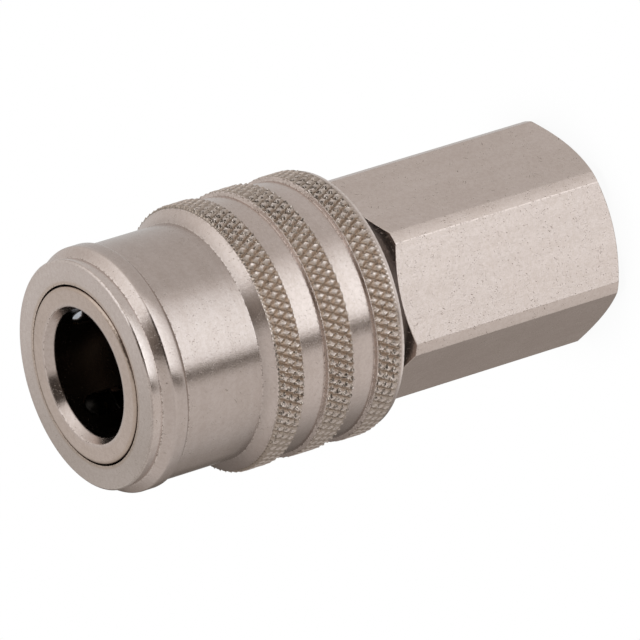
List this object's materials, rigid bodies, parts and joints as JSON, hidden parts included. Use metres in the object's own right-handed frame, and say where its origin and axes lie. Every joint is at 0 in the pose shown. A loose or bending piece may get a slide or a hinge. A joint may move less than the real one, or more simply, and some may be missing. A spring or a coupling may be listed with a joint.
{
  "type": "quick coupling",
  "caption": "Plated brass air-line socket with a sprung, knurled locking sleeve, balls that grip the plug, a shut-off valve and a hexagonal end with a pipe thread.",
  "frame": {"origin": "centre of the rear face of the hexagonal end, on which the coupling stands", "axes": "+Z along the coupling's axis towards the mouth, -Y square out of one hexagon flat, +X through a turned corner of the hexagon"},
  "size_m": [0.0254, 0.0254, 0.0536],
  "materials": {
    "adapter_plating": "satin nickel",
    "body_plating": "satin nickel",
    "sleeve_plating": "satin nickel",
    "turned_brass": "turned",
    "washer_steel": "plain",
    "spring_steel": "drawn wire",
    "ball_steel": "polished",
    "seal_rubber": "matt",
    "white_plastic": "matt"
  },
  "bodies": {
    "housing": {"hex_adapter": "adapter_plating", "socket_body": "body_plating", "rear_spring_washer": "washer_steel", "plug_seal": "seal_rubber", "seal_backup_ring": "white_plastic", "valve_guide": "turned_brass", "adapter_seal": "seal_rubber", "sleeve_spring": "spring_steel", "ball_return_spring": "spring_steel", "valve_spring": "spring_steel"},
    "sleeve": {"locking_sleeve": "sleeve_plating", "sleeve_stop_washer": "washer_steel", "sleeve_snap_ring": "spring_steel"},
    "push_ring": {"ball_push_ring": "turned_brass"},
    "valve": {"valve_nose": "turned_brass", "valve_stem": "turned_brass", "valve_seal": "seal_rubber"},
    "ball_1": {"locking_ball_1": "ball_steel"},
    "ball_2": {"locking_ball_2": "ball_steel"},
    "ball_3": {"locking_ball_3": "ball_steel"},
    "ball_4": {"locking_ball_4": "ball_steel"}
  },
  "joints": [
    {"name": "sleeve_slide", "type": "slide", "parent": "housing", "child": "sleeve", "axis": [0, 0, -1], "range_m": [0, 0.0017], "stiffness_N_per_m": 1500, "springref_m": -0.006, "deforming": ["sleeve_spring"]},
    {"name": "push_ring_slide", "type": "slide", "parent": "housing", "child": "push_ring", "axis": [0, 0, -1], "range_m": [0, 0.00375], "stiffness_N_per_m": 150, "springref_m": -0.004, "deforming": ["ball_return_spring"]},
    {"name": "valve_slide", "type": "slide", "parent": "housing", "child": "valve", "axis": [0, 0, -1], "range_m": [0, 0.0028], "stiffness_N_per_m": 800, "springref_m": -0.004, "deforming": ["valve_spring"]},
    {"name": "ball_1_out", "type": "slide", "parent": "push_ring", "child": "ball_1", "axis": [0.788, 0.6157, 0], "range_m": [0, 0.00053]},
    {"name": "ball_2_out", "type": "slide", "parent": "push_ring", "child": "ball_2", "axis": [-0.6157, 0.788, 0], "range_m": [0, 0.00053]},
    {"name": "ball_3_out", "type": "slide", "parent": "push_ring", "child": "ball_3", "axis": [-0.788, -0.6157, 0], "range_m": [0, 0.00053]},
    {"name": "ball_4_out", "type": "slide", "parent": "push_ring", "child": "ball_4", "axis": [0.6157, -0.788, 0], "range_m": [0, 0.00053]}
  ],
  "couplings": [
    {"joint": "ball_1_out", "follows": "sleeve_slide", "ratio": 0.3117},
    {"joint": "ball_2_out", "follows": "sleeve_slide", "ratio": 0.3117},
    {"joint": "ball_3_out", "follows": "sleeve_slide", "ratio": 0.3117},
    {"joint": "ball_4_out", "follows": "sleeve_slide", "ratio": 0.3117}
  ]
}
